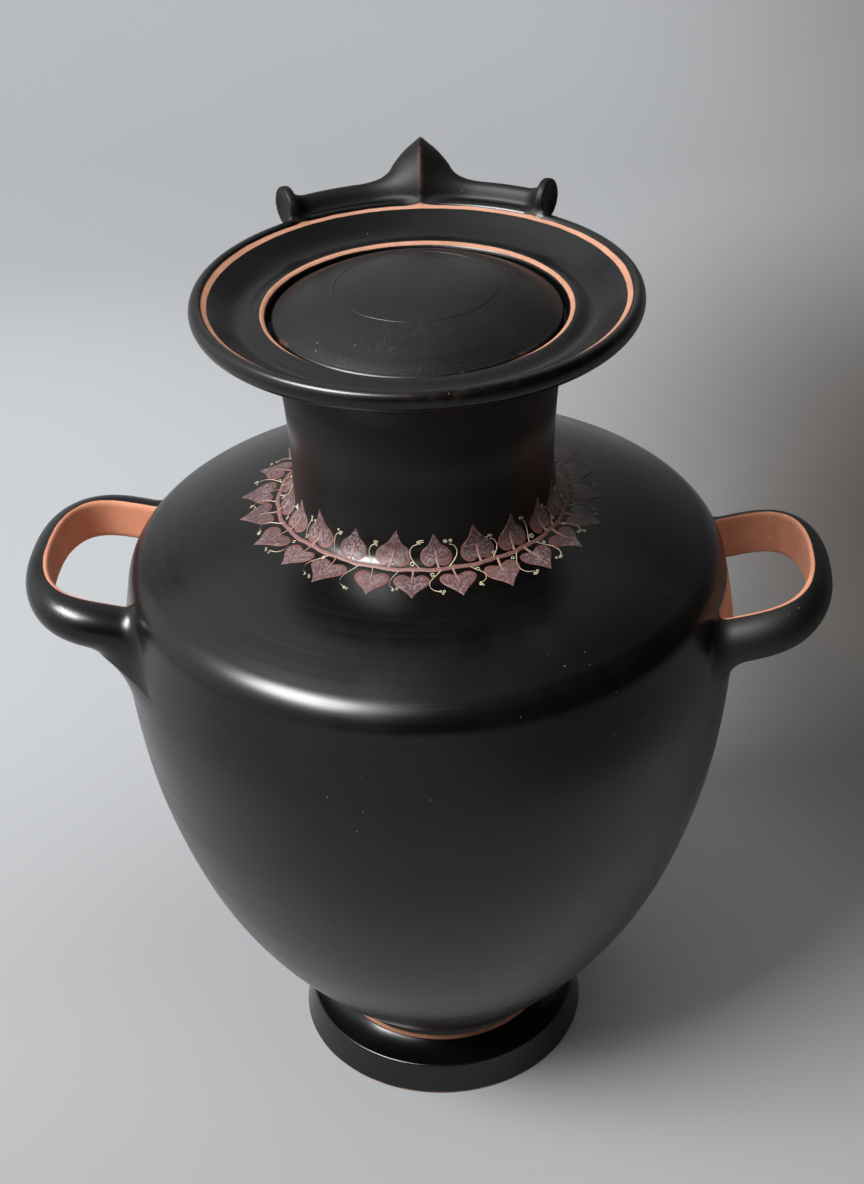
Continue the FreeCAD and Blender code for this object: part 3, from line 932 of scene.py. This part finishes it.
def shoulder_clay(m, radius, height, x, y, wobble):
    """The bare panels inside the two loop handles."""
    left = m.step(x, -0.05, 0.05, -45, 0)
    across = m.plus(m.times(y, m.step(y, -0.01, 0.01, -1000, 1000)), wobble)
    across = m.minus(across, m.times(left, m.step(y, -0.01, 0.01, 1, 0)))
    wobbly = m.plus(height, wobble)
    panel = m.times(m.step(across, 43.5, 42.8), m.step(radius, 140, 142))
    return m.times(panel, m.band(wobbly, 276, 301, 0.3))


def loop_clay(m, radius, height, x, y, wobble):
    inner = m.plus(m.attribute("inner_face"), wobble)
    on_handle = m.step(m.attribute("wall_reach"), 0.55, 0.75, 1, 0)
    return m.times(m.step(inner, -0.35, 0.35), on_handle)


def upright_clay(m, radius, height, x, y, wobble):
    """The mouth's bare ring, where the handle's foot spreads over it."""
    ring = mouth_clay(m, radius, height, x, y, wobble)
    return m.times(ring, m.step(m.attribute("lip_reach"), -0.15, 0.1))


def lip_wear(m, radius, height):
    edge = m.times(m.band(radius, 103.2, 107, 0.8), m.step(height, 444.5, 448))
    return m.times(edge, m.step(m.noise(22, 6, 0.7), 0.54, 0.68, 0, 0.4))


def lid_wear(m, radius, height):
    return m.times(m.step(radius, 66.2, 68), m.step(m.noise(60, 5, 0.7), 0.60, 0.68))


def keel_wear(m, radius, height):
    return m.times(m.attribute("keel"), m.step(m.noise(120, 4, 0.7), 0.42, 0.6, 0, 0.9))


def neck_brown(m, height, x, y):
    """Thin gloss, fired brown, on the neck's two sides."""
    sides = m.times(m.step(m.math("ABSOLUTE", x), 0.045, 0.062), m.step(y, 0.03, -0.01))
    patchy = m.step(m.noise(26, 4, 0.6), 0.36, 0.62)
    return m.times(sides, m.times(patchy, m.times(m.step(height, 352, 375), 0.4)))


# ---- garland


garland_outline = np.concatenate([shoulder_outside[:-1], neck_outside])
garland_run = run_along(garland_outline)
STEM_RADIUS = 69.8
LEFT_DROP, RIGHT_DROP = 2.8, 0.9
stem_spot = np.argmin(abs(garland_outline[:, 0] - STEM_RADIUS) + 10 * (garland_outline[:, 1] > 345))
garland_run -= garland_run[stem_spot]
garland_slope = np.gradient(garland_outline, garland_run, axis=0)


def on_garland(degrees, up, lift):
    """Points on the wall, from their azimuth, place above the stem and lift, in millimetres."""
    up = up - LEFT_DROP * ease(degrees, -125, -165) - RIGHT_DROP * ease(degrees, -60, -20)
    r, z = (np.interp(up, garland_run, values) for values in garland_outline.T)
    dr, dz = (np.interp(up, garland_run, values) for values in garland_slope.T)
    size = np.hypot(dr, dz)
    r = r + lift * dz / size
    z = z - lift * dr / size
    turned = np.radians(degrees)
    return np.stack([r * np.cos(turned), r * np.sin(turned), z], -1)


def dress(piece, material):
    piece.data.materials.append(material)


class Paint:
    """Thin raised paint, gathered into one mesh."""

    def __init__(self):
        self.vertices, self.faces, self.edge, self.tone = [], [], [], []

    def sheet(self, grid, edge, tone):
        """A grid of points; edge is how far each lies from the rim, from 0 to 1."""
        self.faces.extend(grid_faces(*grid.shape[:2], len(self.vertices)))
        self.vertices.extend(grid.reshape(-1, 3))
        self.edge.extend(edge.ravel())
        self.tone.extend([tone] * edge.size)

    def piece(self, name, material):
        fields = {"edge": self.edge, "tone": self.tone}
        made = make_mesh(name, self.vertices, self.faces, None, fields, "vessel", [])
        dress(made, material)


def leaf(paint, outline, degrees, base, tip_shift, length, width, sign, chance):
    """A heart-shaped leaf: base and length run along the wall, away from the stem."""
    half = spline(outline, spacing=0.04)
    rows = len(half)
    across = np.array([-1, -0.94, -0.8, -0.5, -0.2, 0, 0.2, 0.5, 0.8, 0.94, 1])
    along_edge, side_edge = half[:, 0:1], half[:, 1:2]
    start = half[0, 0]
    middle = start + (1 - start) * np.linspace(0, 1, rows)[:, None] ** 0.9
    weight = abs(across) ** 1.5
    ripple = 1 + 0.035 * np.sin(np.linspace(0, 9, rows)[:, None] + chance.uniform(0, 6)) * weight
    p = (along_edge * weight + middle * (1 - weight)) * length
    lopsided = 1 + 0.06 * chance.uniform(-1, 1) * np.sign(across)
    q = side_edge * across * width * ripple * lopsided
    q = q + tip_shift * (p / length) ** 2
    up = sign * (base + p)
    local_radius = np.interp(up, garland_run, garland_outline[:, 0])
    turn_deg = degrees + np.degrees(q / np.maximum(local_radius, 30))
    rim = 1 - abs(across) ** 3 * np.ones_like(p)
    rim[0] = rim[0] * 0.3
    rim[-1] = 0.0
    lift = -0.03 + 0.26 * np.clip(rim * 3.5, 0, 1)
    grid = on_garland(turn_deg, up, lift)
    if sign > 0:
        grid, rim = grid[:, ::-1], rim[:, ::-1]
    paint.sheet(grid, np.clip(rim, 0, 1), chance.uniform(0, 1))


def ribbon(paint, degrees, up, width, height, tone):
    """A painted line through the given azimuths and distances up the wall."""
    degrees, up = np.asarray(degrees, float), np.asarray(up, float)
    width = np.broadcast_to(np.asarray(width, float), degrees.shape)
    radius = np.interp(up, garland_run, garland_outline[:, 0])
    run = np.c_[np.radians(degrees) * radius, up]
    tangent = np.gradient(run, axis=0)
    tangent /= np.maximum(np.hypot(*tangent.T), 1e-9)[:, None]
    across = np.array([-1, -0.7, 0, 0.7, 1])
    sideways = across * width[:, None] / 2
    a = degrees[:, None] + np.degrees(-tangent[:, 1:2] * sideways / radius[:, None])
    u = up[:, None] + tangent[:, 0:1] * sideways
    lift = -0.03 + height * np.array([0, 0.75, 1, 0.75, 0]) * np.ones_like(a)
    rim = np.ones_like(a) * (1 - abs(across))
    paint.sheet(on_garland(a, u, lift)[:, ::-1], rim, tone)


def curve_through(points, count=40):
    bent = spline(points, spacing=0.1)
    run = run_along(bent)
    even = np.linspace(0, run[-1], count)
    return [np.interp(even, run, values) for values in bent.T]


def berry(paint, degrees, up, size, chance):
    """A small ring of cream paint."""
    angles = np.linspace(0, 2 * math.pi, 17)
    scale = math.degrees(1 / np.interp(up, garland_run, garland_outline[:, 0]))
    a = degrees + scale * size * np.cos(angles)
    u = up + size * np.sin(angles)
    ribbon(paint, a, u, size * 0.7, 0.28, chance.uniform(0.2, 1))


LEAF_BASE = [(0, 0.30), (0.10, 0.45)]
OUTER_TIP = [(0.28, 0.50), (0.52, 0.37), (0.76, 0.15), (0.90, 0.06), (1, 0)]
INNER_TIP = [(0.29, 0.50), (0.49, 0.38), (0.66, 0.19), (0.84, 0.09), (1, 0)]
OUTER_LEAF = [(0.13, 0), (0.03, 0.14)] + LEAF_BASE + OUTER_TIP
INNER_LEAF = [(0.09, 0), (0.01, 0.14)] + LEAF_BASE + INNER_TIP
OUTER_SPACING, INNER_SPACING = 15.55, 17.3
DEGREE_MM = 1.3  # about the length of a degree along the stem
GARLAND_FROM, GARLAND_TO = -248, 70


def garland():
    chance = random.Random(11)
    leaves, stalks, tendrils = Paint(), Paint(), Paint()
    turns = np.arange(GARLAND_FROM, GARLAND_TO, 1)
    sway = 0.3 * np.sin(np.radians(turns * 23)) + 0.08 * np.sin(np.radians(turns * 61))
    ribbon(stalks, turns, sway, 2.1 + 0.15 * np.sin(np.radians(turns * 47)), 0.30, 0.1)

    outer = np.arange(-90.1 - 10 * OUTER_SPACING, GARLAND_TO - 4, OUTER_SPACING)
    inner = np.arange(-99.1 - 8 * INNER_SPACING, GARLAND_TO - 4, INNER_SPACING)
    for row, sign, outline, gap, length, width in (
        (outer, -1, OUTER_LEAF, 3, 16, 18.2),
        (inner, 1, INNER_LEAF, 1.6, 17.4, 16),
    ):
        for centre in row:
            at = centre + chance.uniform(-1, 1)
            grow = chance.uniform(0.92, 1.07)
            bend = chance.uniform(-1.8, 1.8)
            leaf(leaves, outline, at, gap, bend, length * grow, width * grow, sign, chance)
            reach = gap + length * chance.uniform(0.36, 0.5)
            tilt = chance.uniform(-1, 1)
            points = [(at + 1.6 * tilt, 0.3 * sign), (at + 0.6 * tilt, 0.5 * reach * sign)]
            degrees, up = curve_through(points + [(at, reach * sign)], 10)
            ribbon(stalks, degrees, up, np.linspace(1.9, 1.25, 10), 0.42, chance.uniform(0.6, 1))

    for row, sign, spacing, far in ((outer, -1, OUTER_SPACING, 15), (inner, 1, INNER_SPACING, 12.5)):
        for centre in row[:-1]:
            at = centre + spacing / 2 + chance.uniform(-0.8, 0.8)
            lean = chance.choice((-1, 1)) * chance.uniform(1.2, 2.6)
            reach = far * chance.uniform(0.75, 1.08)
            steps = (-0.2, 0.3), (0.6, 0.62), (0.1, 0.9), (-0.9, 1)
            points = [(at - 1.2 * lean, 0.8)] + [(at + d * lean, u * reach) for d, u in steps]
            degrees, up = curve_through([(d * DEGREE_MM, u * sign) for d, u in points])
            widths = np.linspace(0.68, 0.42, 40)
            ribbon(tendrils, degrees / DEGREE_MM, up, widths, 0.30, chance.uniform(0, 0.5))
            for _ in range(chance.choice((3, 3, 4, 4))):
                aside = at - 1.1 * lean + chance.uniform(-1.5, 1.5)
                away = (reach + chance.uniform(-0.6, 2)) * sign
                berry(tendrils, aside, away, chance.uniform(0.42, 0.66), chance)
            if chance.random() < 0.6:
                berry(tendrils, at + chance.uniform(-1.5, 1.5), 3.0 * sign, chance.uniform(0.6, 0.9), chance)
    return leaves, stalks, tendrils


def paint_material(name, low, high, rim, patina, gloss):
    """Matt added paint: two tones by piece, a lighter rim and a pale mottled bloom."""
    m = Material(name)
    colour = m.blend(m.attribute("tone"), low, high)
    mottle, edge = m.noise(750, 4, 0.7), m.attribute("edge")
    bloom = m.times(m.step(mottle, 0.44, 0.60), m.step(m.noise(90, 3), 0.35, 0.65, 0.4, 1))
    colour = m.blend(m.times(bloom, m.step(edge, 0.1, 0.6)), colour, patina)
    colour = m.blend(m.step(edge, 0.05, 0.42, 0.75, 0), colour, rim)
    x, y, z = m.axes()
    worn = m.times(m.step(x, 0.052, 0.082), m.step(y, -0.045, -0.01), 0.7)
    colour = m.blend(worn, colour, BLACK_WARM)
    rough = m.step(mottle, 0.3, 0.7, gloss - 0.06, gloss + 0.12)
    return m.surface(colour, rough, m.times(m.noise(700, 4, 0.6), 0.05))


# ---- the pot


dress(foot_piece(), vessel_material("gloss_foot", clay=foot_clay, gloss=0.20, lean=-0.4))
dress(belly_piece(), vessel_material("gloss_belly", gloss=0.27, streak=0.45))
dress(shoulder_piece(), vessel_material("gloss_shoulder", clay=shoulder_clay, gloss=0.25, streak=0.35))
dress(neck_piece(), vessel_material("gloss_neck", brown=neck_brown, gloss=0.29, dull_flare=0.3))
mouth_gloss = vessel_material(
    "gloss_mouth", mouth_clay, lip_wear, gloss=0.26, lean=1.6, tones=RING_CLAY, dull_flare=0.3
)
dress(mouth_piece(), mouth_gloss)
dress(lid_piece(), vessel_material("gloss_lid", wear=lid_wear, gloss=0.34, lean=1.6, scratches=0.22))
loop_gloss = vessel_material(
    "gloss_loops", loop_clay, gloss=0.27, streak=0.10, dull_right=0.24, joins=["wall_reach"]
)
dress(loop_handle("loop_left", LEFT_LOOP, "left_handle"), loop_gloss)
dress(loop_handle("loop_right", RIGHT_LOOP, "right_handle"), loop_gloss)
upright_gloss = vessel_material(
    "gloss_upright", upright_clay, keel_wear, gloss=0.52, streak=0.3, tones=RING_CLAY,
    joins=["wall_reach", "lip_reach"], ior=1.4,
)
for made in upright_handle():
    dress(made, upright_gloss)

leaf_paint, stalk_paint, tendril_paint = garland()
red = (0.060, 0.029, 0.030, 1), (0.110, 0.050, 0.047, 1), (0.20, 0.066, 0.054, 1), (0.195, 0.15, 0.158, 1)
rose = (0.13, 0.055, 0.050, 1), (0.33, 0.18, 0.13, 1), (0.24, 0.11, 0.09, 1), (0.20, 0.12, 0.115, 1)
cream = (0.33, 0.26, 0.16, 1), (0.55, 0.52, 0.36, 1), (0.33, 0.26, 0.17, 1), (0.55, 0.52, 0.40, 1)
leaf_paint.piece("ivy_leaves", paint_material("ivy_red", *red, 0.42))
stalk_paint.piece("ivy_stems", paint_material("ivy_rose", *rose, 0.5))
tendril_paint.piece("ivy_tendrils", paint_material("ivy_cream", *cream, 0.5))


# ---- stage, light and camera


def backdrop():
    """A pale paper sweep: flat under the jar, curving up far behind it, with painted light and shade in its
    colour.
    """
    profile = [(-3, 0), (-1.5, 0), (0, 0), (0.9, 0), (1.3, 0)]
    profile += [(1.3 + 1.2 * math.sin(a), 1.2 - 1.2 * math.cos(a)) for a in np.linspace(0.05, 1.35, 24)]
    profile += [(profile[-1][0] + 0.3, profile[-1][1] + 2)]
    across = np.linspace(-3.5, 3.5, 15)
    vertices = [(x, y, z) for y, z in profile for x in across]
    sweep = smooth_object("paper_sweep", vertices, grid_faces(len(profile), len(across)))
    sweep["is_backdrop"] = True
    m = Material("paper")
    x, y, z = m.axes()

    def from_spot(x0, y0, squash):
        """The squared distance from a spot on the paper, with Y squashed."""
        dx, dy = m.minus(x, x0), m.times(m.minus(y, y0), squash)
        return m.plus(m.times(dx, dx), m.times(dy, dy))

    # Painted light and shade on the paper. From the first factor: a wide painted shadow right of and behind
    # the jar; darker paper towards the front; lighter paper far behind; darker paper towards the right; a
    # painted pool of light at the left; a deeper painted shadow close to the jar's right.
    painted_shade = m.times(
        m.step(m.math("SQRT", from_spot(0.42, 0.58, 0.7)), 0.02, 0.50, 0.15, 1),
        m.step(y, -0.42, -0.02, 0.40, 0.65),
        m.step(y, 0, 1.8, 1, 1.35),
        m.step(x, 0.05, 0.75, 1, 0.42),
        m.step(from_spot(-0.42, 0.5, 1), 0, 0.30, 1.24, 1),
        m.step(from_spot(0.30, 0.36, 0.55), 0, 0.03, 0.70, 1),
    )
    paper = m.blend(m.noise(3, 3), (0.379, 0.396, 0.418, 1), (0.395, 0.411, 0.433, 1))
    # Where the painted shade is deep, the paper blends towards a warm near-black, the colour of the painted
    # shadow.
    dress(sweep, m.surface(m.blend(painted_shade, (0.020, 0.010, 0.001, 1), paper), 0.9))


def soft_light(name, azimuth, elevation, distance, width, height, watts, colour):
    data = bpy.data.lights.new(name, "AREA")
    data.shape = "RECTANGLE"
    data.size, data.size_y = width, height
    data.energy = watts
    data.color = colour
    lamp = link(bpy.data.objects.new(name, data))
    a, e = math.radians(azimuth), math.radians(elevation)
    way = Vector((math.cos(e) * math.cos(a), math.cos(e) * math.sin(a), math.sin(e)))
    lamp.location = Vector((0, 0, 0.25)) + way * distance
    lamp.rotation_euler = way.to_track_quat("Z", "Y").to_euler()
    return lamp


def surroundings():
    """Dim studio walls: brighter at the upper left, darker at the right."""
    world = bpy.data.worlds.new("studio")
    bpy.context.scene.world = world
    world.use_nodes = True
    n = Nodes(world.node_tree, "Generated")
    total = 0.0
    for axis, weight in zip(n.axes(), (-0.8, 0.55, 0.1)):
        total = n.math("MULTIPLY_ADD", axis, weight, total)
    limits = {"From Min": -0.25, "From Max": 0.8, "To Min": 0.010, "To Max": 0.80}
    strength = n.node("ShaderNodeMapRange", {"Value": total, **limits})
    back = {"Color": (0.97, 0.985, 1, 1), "Strength": strength}
    n.put(world.node_tree.nodes["Background"].inputs, back)


CAMERA_PLACE, CAMERA_TURN = (0.0721, -0.8467, 0.8462), (-33.61, -4.735, -2.134)


def camera():
    pitch, yaw, roll = (math.radians(d) for d in CAMERA_TURN)
    forward = Vector((math.cos(pitch) * math.sin(yaw), math.cos(pitch) * math.cos(yaw), math.sin(pitch)))
    level = Vector((math.cos(yaw), -math.sin(yaw), 0))
    upright = level.cross(forward)
    right = math.cos(roll) * level + math.sin(roll) * upright
    up = right.cross(forward)
    data = bpy.data.cameras.new("camera")
    data.lens, data.sensor_width = 60.81, 36.0
    eye = link(bpy.data.objects.new("camera", data))
    rows = [(right[i], up[i], -forward[i], CAMERA_PLACE[i]) for i in range(3)]
    eye.matrix_world = Matrix(rows + [(0, 0, 0, 1)])
    bpy.context.scene.camera = eye


backdrop()
soft_light("key", -144.5, 50, 3.2, 1.75, 1.15, 215, (1, 0.99, 0.975))
fill = soft_light("fill", -30, 68, 2.6, 2.2, 2.2, 30, (1, 0.965, 0.92))
fill.visible_glossy = False
surroundings()
camera()
view = bpy.context.scene.view_settings
view.view_transform = "Standard"
view.look = "None"

boxes = {"cad": cad_box, "visual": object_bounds()}
{k: [[float(v) for v in corner] for corner in box] for k, box in boxes.items()}
